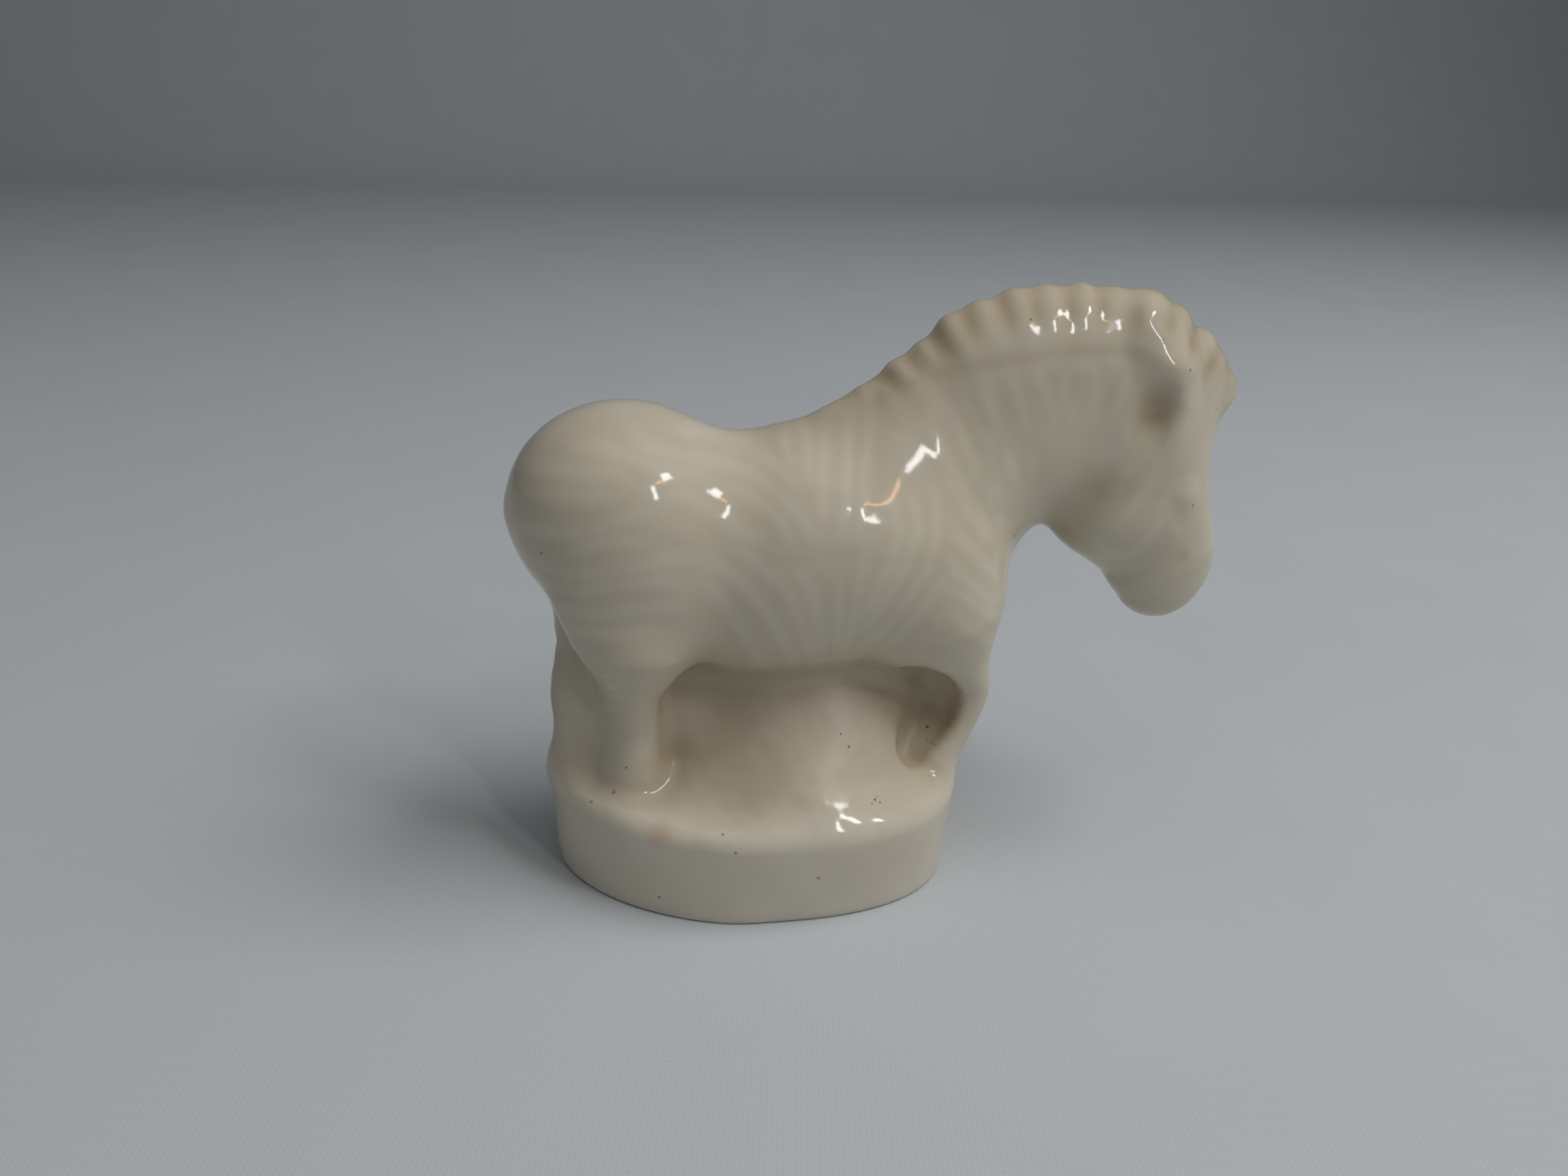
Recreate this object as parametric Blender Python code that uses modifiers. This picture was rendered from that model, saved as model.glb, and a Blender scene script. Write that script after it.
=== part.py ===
"""A pressed porcelain zebra on an oval plinth, one solid piece.

Metres, +Z up. The origin is the middle of the plinth's flat underside, and the animal looks along +X.
The plinth follows its own dimensions. The animal is sculpted from rounded masses, and its masses are
given in shares of its own height, thirty-one shares from the plinth's top to the top of the mane.
"""

import bpy
import bmesh
import numpy as np
from mathutils import Matrix, Vector

HEIGHT = 0.0380            # underside of the plinth to the top of the mane
PLINTH_HEIGHT = 0.0070
PLINTH_LENGTH = 0.02686    # along X, at the widest level
PLINTH_WIDTH = 0.02016     # along Y
PLINTH_EDGE = 0.0011       # rounding of the upper edge
RIM_DROP = 0.0005          # how far the top slopes down to its near and far edges
PLINTH_DRAFT = 0.0004      # how far the side leans in, from its top to its foot
CREASE = 1.0               # softness of the clay's joins, 1 as pressed
FACETS = 9200              # triangles of the finished piece

SHARE = (HEIGHT - PLINTH_HEIGHT) / 31.0

# The masses. An egg has its centre and its three radii. A limb runs through points, each with a
# radius, and a width that scales it sideways. A bent mass is a smoothly curved limb. X is forward, Z is up from the plinth's top, and Y is
# to the animal's left. A mass beside the middle plane stands on both sides.

TRUNK = [
    ("egg", (1.6, 0.0, 13.5), (11.0, 6.6, 7.1)),
    ("egg", (3.5, 0.0, 16.5), (7.8, 6.0, 5.8)),
    ("egg", (-7.8, 0.0, 17.0), (7.1, 6.7, 6.8)),
    ("egg", (-9.4, 0.0, 18.4), (4.6, 4.4, 3.8)),
    ("egg", (8.5, 0.0, 14.2), (6.7, 6.2, 6.4)),
    ("egg", (9.6, 0.0, 19.0), (4.7, 2.7, 4.9)),
    ("egg", (10.7, 0.0, 11.4), (4.0, 4.8, 4.6)),
]
NECK = [
    ("limb", 0.54, [(10.7, 0.0, 18.6, 6.0), (16.4, 0.0, 21.5, 5.9), (22.2, 0.0, 22.2, 5.2)]),
]
HEAD = [
    ("limb", 0.78, [(24.7, 0.0, 22.0, 4.15), (24.6, 0.0, 17.6, 4.5), (26.5, 0.0, 13.8, 3.6), (27.4, 0.0, 12.2, 3.0)]),
    ("egg", (23.0, 0.0, 16.0), (3.1, 2.9, 2.5)),
    ("egg", (27.0, 0.0, 11.3), (1.8, 1.8, 1.8)),
    ("limb", 0.92, [(26.1, 0.0, 20.4, 2.35), (28.0, 0.0, 13.8, 2.25)]),
]
CREST = [
    ("limb", 0.6, [
        (5.4, 0.0, 21.2, 1.0),
        (7.8, 0.0, 22.4, 1.5),
        (10.9, 0.0, 24.2, 3.0),
        (13.6, 0.0, 25.8, 3.9),
        (16.4, 0.0, 26.7, 4.0),
        (19.3, 0.0, 26.9, 4.0),
        (23.4, 0.0, 26.4, 4.0),
        (26.8, 0.0, 25.8, 2.4),
        (29.3, 0.0, 24.6, 1.1),
    ]),
]
POLL = [
    ("limb", 1.0, [(23.2, 0.7, 28.5, 1.6), (24.5, 2.0, 26.0, 1.6)]),
    ("limb", 1.0, [(25.3, 1.9, 26.0, 1.1), (25.0, 2.5, 24.4, 1.1), (24.7, 2.5, 22.6, 0.8)]),
]
HIND_LEG = [
    ("egg", (-7.5, 3.5, 13.4), (4.9, 3.0, 6.0)),
    ("bent", [
        (-7.8, 3.5, 9.8, 2.9),
        (-8.0, 3.4, 6.4, 1.75),
        (-7.8, 3.2, 3.6, 1.25),
        (-7.9, 3.2, 0.8, 1.5),
    ]),
    ("limb", 1.0, [(-8.5, 2.0, 7.0, 1.5), (-8.5, 2.0, 0.6, 1.5)]),
]
FORE_LEG = [
    ("egg", (10.9, 2.8, 12.4), (4.2, 3.0, 5.2)),
    ("bent", [
        (12.0, 3.0, 10.2, 2.9),
        (13.2, 3.3, 7.4, 1.7),
        (13.9, 3.3, 5.5, 1.1),
        (13.3, 3.3, 3.1, 1.0),
        (11.8, 3.5, 0.8, 1.3),
    ]),
    ("limb", 1.0, [(12.7, 2.0, 7.0, 1.3), (12.4, 2.0, 4.0, 1.1), (11.2, 2.0, 0.6, 1.2)]),
]
TAIL = [
    ("limb", 1.15, [
        (-12.4, 0.0, 19.8, 1.1),
        (-13.6, 0.0, 17.4, 1.4),
        (-12.0, 0.0, 12.6, 1.1),
        (-10.8, 0.0, 8.6, 1.3),
        (-10.9, 0.0, 3.0, 1.4),
        (-11.3, 0.0, 0.2, 1.7),
    ]),
]
WEB = [
    ("limb", 0.42, [(-8.0, 0.0, 4.8, 4.7), (8.8, 0.0, 5.0, 4.6)]),
    ("egg", (-5.0, 0.0, 2.6), (2.6, 2.7, 3.6)),
    ("limb", 1.1, [(-10.6, 0.0, 9.4, 1.1), (-10.3, 0.0, 5.0, 1.6), (-10.4, 0.0, 0.6, 1.8)]),
]
CRESCENT = [
    ("bent", [(10.0, 3.7, 7.7, 0.8), (11.4, 3.3, 5.7, 1.15), (11.3, 3.3, 3.6, 1.1), (9.7, 4.2, 1.8, 0.7)]),
]
MOUND = [
    ("limb", 0.66, [(4.4, 0.4, 5.2, 3.4), (3.0, 5.5, -2.4, 5.4)]),
    ("limb", 0.66, [(3.4, 0.4, 4.4, 3.2), (-1.6, 3.4, -1.2, 3.3)]),
    ("limb", 0.66, [(4.8, 0.4, 4.6, 3.2), (7.0, 4.2, -1.4, 3.6)]),
]


def smooth_step(low, high, value):
    t = np.clip((value - low) / (high - low), 0.0, 1.0)
    return t * t * (3.0 - 2.0 * t)


def length(v):
    return np.sqrt((v * v).sum(axis=1))


def egg(p, centre, radii):
    """Signed distance to an ellipsoid, near enough for blending."""
    q = (p - np.array(centre)) / np.array(radii)
    near = length(q)
    steep = length(q / np.array(radii))
    return near * (near - 1.0) / np.maximum(steep, 1e-9)


def limb(p, width, points):
    """Signed distance to a rounded rod through points, its radius changing evenly between them."""
    q = p * np.array((1.0, 1.0 / width, 1.0))
    found = np.full(len(p), 1e9)
    for low, high in zip(points[:-1], points[1:]):
        a = np.array((low[0], low[1] / width, low[2]))
        b = np.array((high[0], high[1] / width, high[2]))
        along = b - a
        t = np.clip((q - a) @ along / (along @ along), 0.0, 1.0)
        radius = low[3] + (high[3] - low[3]) * t
        found = np.minimum(found, length(q - a - t[:, None] * along) - radius)
    return found * min(width, 1.0)


def flowing(points, steps):
    """More points on a smooth curve through the given ones."""
    p = np.array([points[0]] + list(points) + [points[-1]], float)
    out = []
    for i in range(1, len(p) - 2):
        a, b, c, d = p[i - 1], p[i], p[i + 1], p[i + 2]
        for t in np.arange(steps) / steps:
            bend = (2.0 * a - 5.0 * b + 4.0 * c - d) * t * t
            turn = (3.0 * b - a - 3.0 * c + d) * t ** 3
            out.append(0.5 * (2.0 * b + (c - a) * t + bend + turn))
    out.append(p[-2])
    return np.array(out)


def bent(p, line):
    """Signed distance to a rod round a smooth line, its radius that of the line's nearest place."""
    best = np.full(len(p), 1e9)
    radius = np.zeros(len(p))
    for low, high in zip(line[:-1], line[1:]):
        along = high[:3] - low[:3]
        t = np.clip((p - low[:3]) @ along / (along @ along), 0.0, 1.0)
        d = length(p - low[:3] - t[:, None] * along)
        closer = d < best
        best[closer] = d[closer]
        radius[closer] = (low[3] + (high[3] - low[3]) * t)[closer]
    return best - radius


def blend(a, b, softness):
    """The lower of two distances, with the join filled as wet clay would be."""
    k = softness * CREASE
    h = np.maximum(k - np.abs(a - b), 0.0) / k
    return np.minimum(a, b) - h * h * k / 4.0


def carve(a, b, softness):
    """The first shape with the second hollowed out of it."""
    return -blend(-a, b, softness)


def masses(p, group, softness):
    found = None
    for mass in group:
        if mass[0] == "egg":
            distance = egg(p, mass[1], mass[2])
        elif mass[0] == "limb":
            distance = limb(p, mass[1], mass[2])
        else:
            distance = bent(p, flowing(mass[1], 4))
        found = distance if found is None else blend(found, distance, softness)
    return found


def plinth(p):
    """Signed distance to the plinth, in shares. Its left end is a little pointed, its right end blunter."""
    level = np.clip(-p[:, 2] * SHARE / PLINTH_HEIGHT, 0.0, 1.3)
    lean = PLINTH_DRAFT * level
    half_length = (PLINTH_LENGTH / 2.0 - lean) / SHARE
    half_width = (PLINTH_WIDTH / 2.0 - lean) / SHARE
    turn = 0.5 + 0.5 * np.tanh(p[:, 0] / (0.25 * half_length))
    power = 1.82 + 0.95 * turn
    x = np.abs(p[:, 0]) / half_length + 1e-4
    y = np.abs(p[:, 1]) / half_width + 1e-4
    round_about = (x ** power + y ** power) ** (1.0 / power)
    out = (np.hypot(p[:, 0], p[:, 1]) + 1e-3) * (1.0 - 1.0 / round_about)
    edge = PLINTH_EDGE / SHARE
    up = np.maximum(out + edge, 0.0)
    top = p[:, 2] + RIM_DROP / SHARE * smooth_step(0.25, 1.05, y)
    over = np.maximum(top + edge, 0.0)
    return np.hypot(up, over) + np.minimum(np.maximum(out, top) + edge, 0.0) - edge


def mane_lobes(p):
    """How far the mane's tufts swell and the hollows between them sink, fading down its sides."""
    middle = np.array((17.5, 0.0, 15.5))
    turn = np.arctan2(p[:, 0] - middle[0], p[:, 2] - middle[2])
    fade = 1.0 - 0.8 * smooth_step(0.4, 1.8, np.abs(p[:, 1]))
    return -0.06 * np.cos(turn * 43.6 + 1.0) * fade


def sculpt(p):
    """Signed distance to the whole animal and its plinth. It takes and gives shares."""
    side = p * np.array((1.0, 0.0, 1.0))
    side[:, 1] = np.abs(p[:, 1])
    body = masses(p, TRUNK, 3.0)
    body = blend(body, masses(p, NECK, 2.0), 3.0)
    body = blend(body, masses(p, HEAD, 1.8), 1.9)
    body = blend(body, masses(side, HIND_LEG, 1.6), 1.6)
    body = blend(body, masses(side, FORE_LEG, 1.6), 1.8)
    crest = masses(p, CREST, 1.0) + mane_lobes(p)
    body = blend(body, crest, 2.2)
    body = blend(body, masses(p, TAIL, 1.0), 1.0)
    body = blend(body, masses(side, POLL, 1.0), 1.2)
    body = carve(body, egg(side, (23.5, 4.2, 23.4), (0.9, 1.6, 1.5)), 1.2)
    body = blend(body, egg(side, (26.4, 2.5, 18.4), (0.9, 0.7, 0.8)), 0.8)
    clay = blend(masses(p, WEB, 1.5), masses(side, MOUND, 2.0), 2.0)
    whole = blend(body, blend(clay, plinth(p), 2.0), 1.5)
    return carve(whole, masses(side, CRESCENT, 1.0), 1.0)


def clear_scene():
    for old in list(bpy.data.objects):
        bpy.data.objects.remove(old, do_unlink=True)


def add_egg(bm, centre, radii):
    ball = bmesh.ops.create_uvsphere(bm, u_segments=16, v_segments=10, radius=1.0)
    bmesh.ops.scale(bm, vec=Vector(radii), verts=ball["verts"])
    bmesh.ops.translate(bm, vec=Vector(centre), verts=ball["verts"])


def add_limb(bm, width, points):
    for point in points:
        add_egg(bm, point[:3], (point[3], point[3] * width, point[3]))
    for low, high in zip(points[:-1], points[1:]):
        a = Vector((low[0], low[1] / width, low[2]))
        b = Vector((high[0], high[1] / width, high[2]))
        turn = (b - a).to_track_quat("Z", "Y").to_matrix().to_4x4()
        cone = bmesh.ops.create_cone(
            bm,
            cap_ends=True,
            segments=16,
            radius1=low[3],
            radius2=high[3],
            depth=(b - a).length,
            matrix=Matrix.Translation((a + b) / 2.0) @ turn,
        )
        bmesh.ops.scale(bm, vec=(1.0, width, 1.0), verts=cone["verts"])


def add_plinth(bm):
    half_length = PLINTH_LENGTH / 2.0 / SHARE
    half_width = PLINTH_WIDTH / 2.0 / SHARE
    deep = PLINTH_HEIGHT / SHARE + 1.2
    disc = bmesh.ops.create_cone(
        bm, cap_ends=True, segments=72, radius1=1.0, radius2=1.0, depth=deep,
        matrix=Matrix.Translation((0.0, 0.0, -deep / 2.0)),
    )
    bmesh.ops.scale(bm, vec=(half_length, half_width, 1.0), verts=disc["verts"])


def add_group(bm, group):
    for mass in group:
        if mass[0] == "egg":
            sides = (1.0, -1.0) if mass[1][1] else (1.0,)
            for side in sides:
                add_egg(bm, (mass[1][0], mass[1][1] * side, mass[1][2]), mass[2])
        else:
            width = mass[1] if mass[0] == "limb" else 1.0
            line = mass[2] if mass[0] == "limb" else mass[1]
            sides = (1.0, -1.0) if line[0][1] else (1.0,)
            for side in sides:
                add_limb(bm, width, [(x, y * side, z, r) for x, y, z, r in line])


def bake(obj):
    """Puts the modifiers' result in the object's own mesh."""
    graph = bpy.context.evaluated_depsgraph_get()
    made = bpy.data.meshes.new_from_object(obj.evaluated_get(graph))
    old = obj.data
    obj.modifiers.clear()
    obj.data = made
    made.name = obj.name
    bpy.data.meshes.remove(old)


def remesh(obj, voxel):
    step = obj.modifiers.new("Even clay", "REMESH")
    step.mode = "VOXEL"
    step.voxel_size = voxel
    step.adaptivity = 0.0
    bake(obj)


def press(obj, rounds):
    """Moves each vertex onto the sculpted surface."""
    mesh = obj.data
    co = np.empty(len(mesh.vertices) * 3)
    mesh.vertices.foreach_get("co", co)
    p = co.reshape(-1, 3) / SHARE
    p[:, 2] -= PLINTH_HEIGHT / SHARE
    small = 0.02
    for _ in range(rounds):
        slope = np.empty_like(p)
        for axis in range(3):
            step = np.zeros(3)
            step[axis] = small
            slope[:, axis] = (sculpt(p + step) - sculpt(p - step)) / (2.0 * small)
        pull = sculpt(p)
        pull = np.where(np.abs(pull) < 1.5, pull, 0.0) / np.maximum((slope * slope).sum(axis=1), 0.25)
        p -= slope * np.clip(pull, -0.4, 0.4)[:, None]
    p[:, 2] += PLINTH_HEIGHT / SHARE
    mesh.vertices.foreach_set("co", (p * SHARE).ravel())
    mesh.update()


def trim_underside(obj):
    """Cuts the foot of the plinth flat at Z = 0 and closes it with one face."""
    bm = bmesh.new()
    bm.from_mesh(obj.data)
    cut = bmesh.ops.bisect_plane(
        bm,
        geom=bm.verts[:] + bm.edges[:] + bm.faces[:],
        dist=1e-7,
        plane_co=(0.0, 0.0, 0.0),
        plane_no=(0.0, 0.0, 1.0),
        clear_inner=True,
    )
    rim = [item for item in cut["geom_cut"] if isinstance(item, bmesh.types.BMEdge)]
    bmesh.ops.edgeloop_fill(bm, edges=rim)
    bmesh.ops.recalc_face_normals(bm, faces=bm.faces[:])
    bmesh.ops.triangulate(bm, faces=bm.faces[:])
    bm.to_mesh(obj.data)
    bm.free()


def glaze():
    """Cream glazed porcelain."""
    material = bpy.data.materials.new("cream glaze")
    material.use_nodes = True
    shader = material.node_tree.nodes["Principled BSDF"]
    shader.inputs["Base Color"].default_value = (0.78, 0.72, 0.60, 1.0)
    shader.inputs["Roughness"].default_value = 0.12
    material.diffuse_color = (0.78, 0.72, 0.60, 1.0)
    return material


def build():
    clear_scene()
    collection = bpy.data.collections.new("zebra figurine")
    bpy.context.scene.collection.children.link(collection)
    mesh = bpy.data.meshes.new("zebra_figurine")
    bm = bmesh.new()
    for group in (TRUNK, NECK, HEAD, CREST, POLL, HIND_LEG, FORE_LEG, TAIL, WEB, MOUND):
        add_group(bm, group)
    add_plinth(bm)
    bmesh.ops.translate(bm, vec=(0.0, 0.0, PLINTH_HEIGHT / SHARE), verts=bm.verts[:])
    bmesh.ops.scale(bm, vec=(SHARE, SHARE, SHARE), verts=bm.verts[:])
    bmesh.ops.recalc_face_normals(bm, faces=bm.faces[:])
    bm.to_mesh(mesh)
    bm.free()
    zebra = bpy.data.objects.new("zebra_figurine", mesh)
    collection.objects.link(zebra)
    remesh(zebra, 0.5 * SHARE)
    press(zebra, 6)
    remesh(zebra, 0.36 * SHARE)
    press(zebra, 5)
    thin = zebra.modifiers.new("Fewer facets", "DECIMATE")
    thin.ratio = FACETS / (2.0 * len(zebra.data.polygons))
    bake(zebra)
    trim_underside(zebra)
    zebra.data.materials.clear()
    zebra.data.materials.append(glaze())


build()
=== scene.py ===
"""A pressed porcelain zebra on its oval plinth, finished as fine sculpted clay under a cream glaze.

Lengths in the sculpting functions are millimetres, with z measured from the plinth's top.
"""

import math

import bpy
import numpy as np
from mathutils import Matrix, Vector


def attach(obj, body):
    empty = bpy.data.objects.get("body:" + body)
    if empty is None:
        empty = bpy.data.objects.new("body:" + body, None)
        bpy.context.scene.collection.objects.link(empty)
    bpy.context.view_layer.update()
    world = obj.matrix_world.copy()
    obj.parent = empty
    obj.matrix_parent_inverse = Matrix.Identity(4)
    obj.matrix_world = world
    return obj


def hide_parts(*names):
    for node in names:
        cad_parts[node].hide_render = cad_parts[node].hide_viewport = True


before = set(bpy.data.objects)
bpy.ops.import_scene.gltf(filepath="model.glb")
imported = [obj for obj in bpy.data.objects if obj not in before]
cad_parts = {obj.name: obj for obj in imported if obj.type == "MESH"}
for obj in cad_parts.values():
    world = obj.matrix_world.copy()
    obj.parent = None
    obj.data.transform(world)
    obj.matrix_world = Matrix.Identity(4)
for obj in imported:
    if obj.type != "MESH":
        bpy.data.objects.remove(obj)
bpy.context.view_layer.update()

MM = 0.001
PLINTH_TOP = 7.0           # height of the plinth
PLINTH_HALF_LENGTH = 13.43
PLINTH_HALF_WIDTH = 10.06
PLINTH_EDGE = 1.1
RIM_DROP = 0.5             # how far the top slopes down to its near and far edges
PLINTH_DRAFT = 0.4
FOOT_EDGE = 0.35           # rounding of the foot where it meets the table
CLAY_STEP = 0.232          # spacing of the fine mesh
SLOPE_STEP = 0.02          # how far to each side of a point its slope is measured
# How closed in a point is, judged at these distances, sets the painted shade in hollows.
NEAR_PROBE = 0.9           # distances out from the skin at which its hollows are judged
FAR_PROBE = 2.6

# Clay masses

# An egg has its centre and its three radii. A limb runs through points, each with a radius, and a
# width that scales it sideways.

TRUNK = [
    ("egg", (1.6, 0.0, 13.5), (11.0, 6.6, 7.1)),
    ("egg", (3.5, 0.0, 16.5), (7.8, 6.0, 5.8)),
    ("egg", (-7.8, 0.0, 17.0), (7.1, 6.7, 6.8)),
    ("egg", (-9.4, 0.0, 18.4), (4.6, 4.4, 3.8)),
    ("egg", (8.5, 0.0, 14.2), (6.7, 6.2, 6.4)),
    ("egg", (9.6, 0.0, 19.0), (4.7, 2.7, 4.9)),
    ("egg", (10.7, 0.0, 11.4), (4.0, 4.8, 4.6)),
]
NECK = [
    ("limb", 0.54, [(10.7, 0.0, 18.6, 6.0), (16.4, 0.0, 21.5, 5.9), (22.2, 0.0, 22.2, 5.2)]),
]
HEAD = [
    ("limb", 0.78, [
        (24.7, 0.0, 22.0, 4.15),
        (24.6, 0.0, 17.6, 4.5),
        (26.5, 0.0, 13.8, 3.6),
        (27.4, 0.0, 12.2, 3.0),
    ]),
    ("egg", (23.0, 0.0, 16.0), (3.1, 2.9, 2.5)),
    ("egg", (27.0, 0.0, 11.3), (1.8, 1.8, 1.8)),
    ("limb", 0.92, [(26.1, 0.0, 20.4, 2.35), (28.0, 0.0, 13.8, 2.25)]),
]
CREST = [
    ("limb", 0.6, [
        (5.4, 0.0, 21.2, 1.0),
        (7.8, 0.0, 22.4, 1.5),
        (10.9, 0.0, 24.2, 3.0),
        (13.6, 0.0, 25.8, 3.9),
        (16.4, 0.0, 26.7, 4.0),
        (19.3, 0.0, 26.9, 4.0),
        (23.4, 0.0, 26.4, 4.0),
        (26.8, 0.0, 25.8, 2.4),
        (29.3, 0.0, 24.6, 1.1),
    ]),
]
POLL = [
    ("limb", 1.0, [(23.2, 0.7, 28.5, 1.6), (24.5, 2.0, 26.0, 1.6)]),
    ("limb", 1.0, [(25.3, 1.9, 26.0, 1.1), (25.0, 2.35, 24.4, 1.1), (24.7, 2.3, 22.6, 0.8)]),
]
HIND_LEG = [
    ("egg", (-7.5, 3.5, 13.4), (4.9, 3.0, 6.0)),
    ("bent", [
        (-7.8, 3.5, 9.8, 2.9),
        (-8.0, 3.4, 6.4, 1.75),
        (-7.8, 3.2, 3.6, 1.25),
        (-7.9, 3.2, 0.8, 1.5),
    ]),
    ("limb", 1.0, [(-8.5, 2.0, 7.0, 1.5), (-8.5, 2.0, 0.6, 1.5)]),
]
FORE_LEG = [
    ("egg", (10.9, 2.8, 12.4), (4.2, 3.0, 5.2)),
    ("bent", [
        (12.0, 3.0, 10.2, 2.9),
        (13.2, 3.3, 7.4, 1.7),
        (13.9, 3.3, 5.5, 1.1),
        (13.3, 3.3, 3.1, 1.0),
        (11.8, 3.5, 0.8, 1.3),
    ]),
    ("limb", 1.0, [(12.7, 2.0, 7.0, 1.3), (12.4, 2.0, 4.0, 1.1), (11.2, 2.0, 0.6, 1.2)]),
]
TAIL = [
    ("limb", 1.15, [
        (-12.4, 0.0, 19.8, 1.1),
        (-13.6, 0.0, 17.4, 1.4),
        (-12.0, 0.0, 12.6, 1.1),
        (-10.8, 0.0, 8.6, 1.3),
        (-10.9, 0.0, 3.0, 1.4),
        (-11.3, 0.0, 0.2, 1.7),
    ]),
]
WEB = [
    ("limb", 0.42, [(-8.0, 0.0, 4.8, 4.7), (8.8, 0.0, 5.0, 4.6)]),
    ("egg", (-5.0, 0.0, 2.6), (2.6, 2.7, 3.6)),
    ("limb", 1.1, [(-10.6, 0.0, 9.4, 1.1), (-10.3, 0.0, 5.0, 1.6), (-10.4, 0.0, 0.6, 1.8)]),
]
CRESCENT = [
    ("bent", [
        (10.0, 3.7, 7.7, 0.8),
        (11.4, 3.3, 5.7, 1.15),
        (11.3, 3.3, 3.6, 1.1),
        (9.7, 4.2, 1.8, 0.7),
    ]),
]
MOUND = [
    ("limb", 0.66, [(4.4, 0.4, 5.2, 3.4), (3.0, 5.5, -2.4, 5.4)]),
    ("limb", 0.66, [(3.4, 0.4, 4.4, 3.2), (-1.6, 3.4, -1.2, 3.3)]),
    ("limb", 0.66, [(4.8, 0.4, 4.6, 3.2), (7.0, 4.2, -1.4, 3.6)]),
]

# Carving

# Raised stripes, drawn on the side as (X, Z) points and pressed into both sides.

NECK_STRIPES = [
    [(10.9, 24.4), (11.6, 22.7), (12.3, 20.9), (12.8, 19.9)],
    [(12.5, 25.4), (13.1, 24.4), (13.6, 23.4), (13.9, 22.4)],
    [(14.4, 25.9), (15.0, 24.7), (15.5, 23.4), (15.9, 22.2)],
    [(16.0, 26.3), (16.5, 25.5), (17.0, 24.2), (17.3, 23.1)],
    [(18.6, 23.1), (18.0, 24.4), (17.9, 25.8), (18.7, 26.5), (19.6, 26.2), (19.8, 24.9), (19.5, 23.4)],
    [(21.3, 26.6), (21.7, 25.9), (21.3, 24.6), (20.8, 23.0)],
    [(9.5, 23.7), (10.1, 22.2), (11.1, 20.4), (12.8, 17.9), (13.9, 16.5)],
    [(14.5, 21.7), (15.0, 20.3), (15.4, 19.1)],
    [(16.1, 21.7), (16.4, 20.5), (16.7, 19.5)],
]
CHEST_STRIPES = [
    [(10.3, 20.5), (11.6, 18.9), (12.8, 17.3), (13.6, 16.4)],
    [(10.8, 17.3), (12.0, 16.2), (13.3, 14.9), (14.6, 13.6)],
    [(10.3, 15.8), (11.4, 14.7), (12.8, 13.4), (14.4, 12.2)],
    [(10.8, 14.1), (11.9, 13.1), (13.3, 12.1), (14.6, 11.0)],
    [(10.7, 12.6), (11.9, 11.4), (13.5, 10.2), (14.6, 9.2)],
]
SHOULDER_STRIPES = [
    [(9.5, 20.2), (9.9, 18.2), (9.5, 16.2), (8.4, 14.0), (7.3, 12.1), (5.9, 9.9), (4.9, 7.3)],
    [(8.2, 19.8), (8.6, 18.2), (8.3, 16.8), (7.3, 14.8), (6.3, 12.9), (5.6, 11.0)],
    [(6.9, 19.4), (7.4, 17.9), (7.0, 16.2), (6.1, 14.2), (5.4, 12.0)],
    [(10.2, 14.6), (9.3, 13.2), (8.3, 11.6), (7.3, 9.9)],
]
CROUP_STRIPES = [
    [(-11.8, 22.1), (-9.7, 22.3), (-7.6, 21.8), (-5.1, 21.1), (-3.5, 20.7)],
    [(-8.1, 22.8), (-5.8, 22.0), (-3.4, 21.4), (-1.4, 20.8), (0.3, 19.7), (1.6, 18.5), (2.4, 17.0)],
    [(-5.3, 22.9), (-3.3, 22.5), (-1.5, 21.9), (0.6, 20.9), (1.6, 19.8)],
]
FLANK_STRIPES = [
    [(-2.3, 20.0), (-0.8, 19.4), (0.5, 18.2), (1.1, 16.9)],
    [(-5.9, 20.2), (-4.0, 19.3), (-2.1, 17.9), (-0.5, 17.1)],
    [(-3.7, 16.2), (-2.1, 14.9), (-0.4, 13.0), (0.9, 10.7), (2.2, 7.5)],
    [(-4.1, 15.0), (-2.6, 13.2), (-1.4, 11.0), (0.1, 8.0)],
    [(-2.5, 17.1), (-0.5, 15.7), (1.0, 13.9), (2.1, 11.3), (3.2, 7.7)],
    [(0.9, 16.1), (2.2, 14.3), (2.8, 11.8), (3.8, 7.7)],
]
RUMP_STRIPES = [
    [(-14.8, 20.6), (-12.0, 21.1), (-10.1, 21.2), (-7.8, 21.3)],
    [(-14.9, 19.3), (-12.2, 19.9), (-10.5, 20.0), (-8.8, 20.4)],
    [(-14.9, 17.5), (-12.1, 17.9), (-10.2, 18.3), (-8.3, 19.0), (-7.1, 19.2)],
    [(-11.6, 17.0), (-9.6, 17.7), (-7.2, 17.9)],
    [(-14.6, 15.6), (-12.2, 15.5), (-10.3, 15.7), (-8.4, 16.1), (-6.4, 16.4), (-5.1, 16.6)],
    [(-14.0, 14.2), (-11.3, 14.4), (-9.3, 14.9), (-7.0, 15.2), (-5.1, 15.3)],
    [(-13.4, 12.6), (-11.1, 13.0), (-8.4, 13.4), (-5.3, 13.5)],
    [(-13.0, 11.3), (-11.2, 11.6), (-8.8, 11.9), (-6.5, 12.1)],
]
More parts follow.
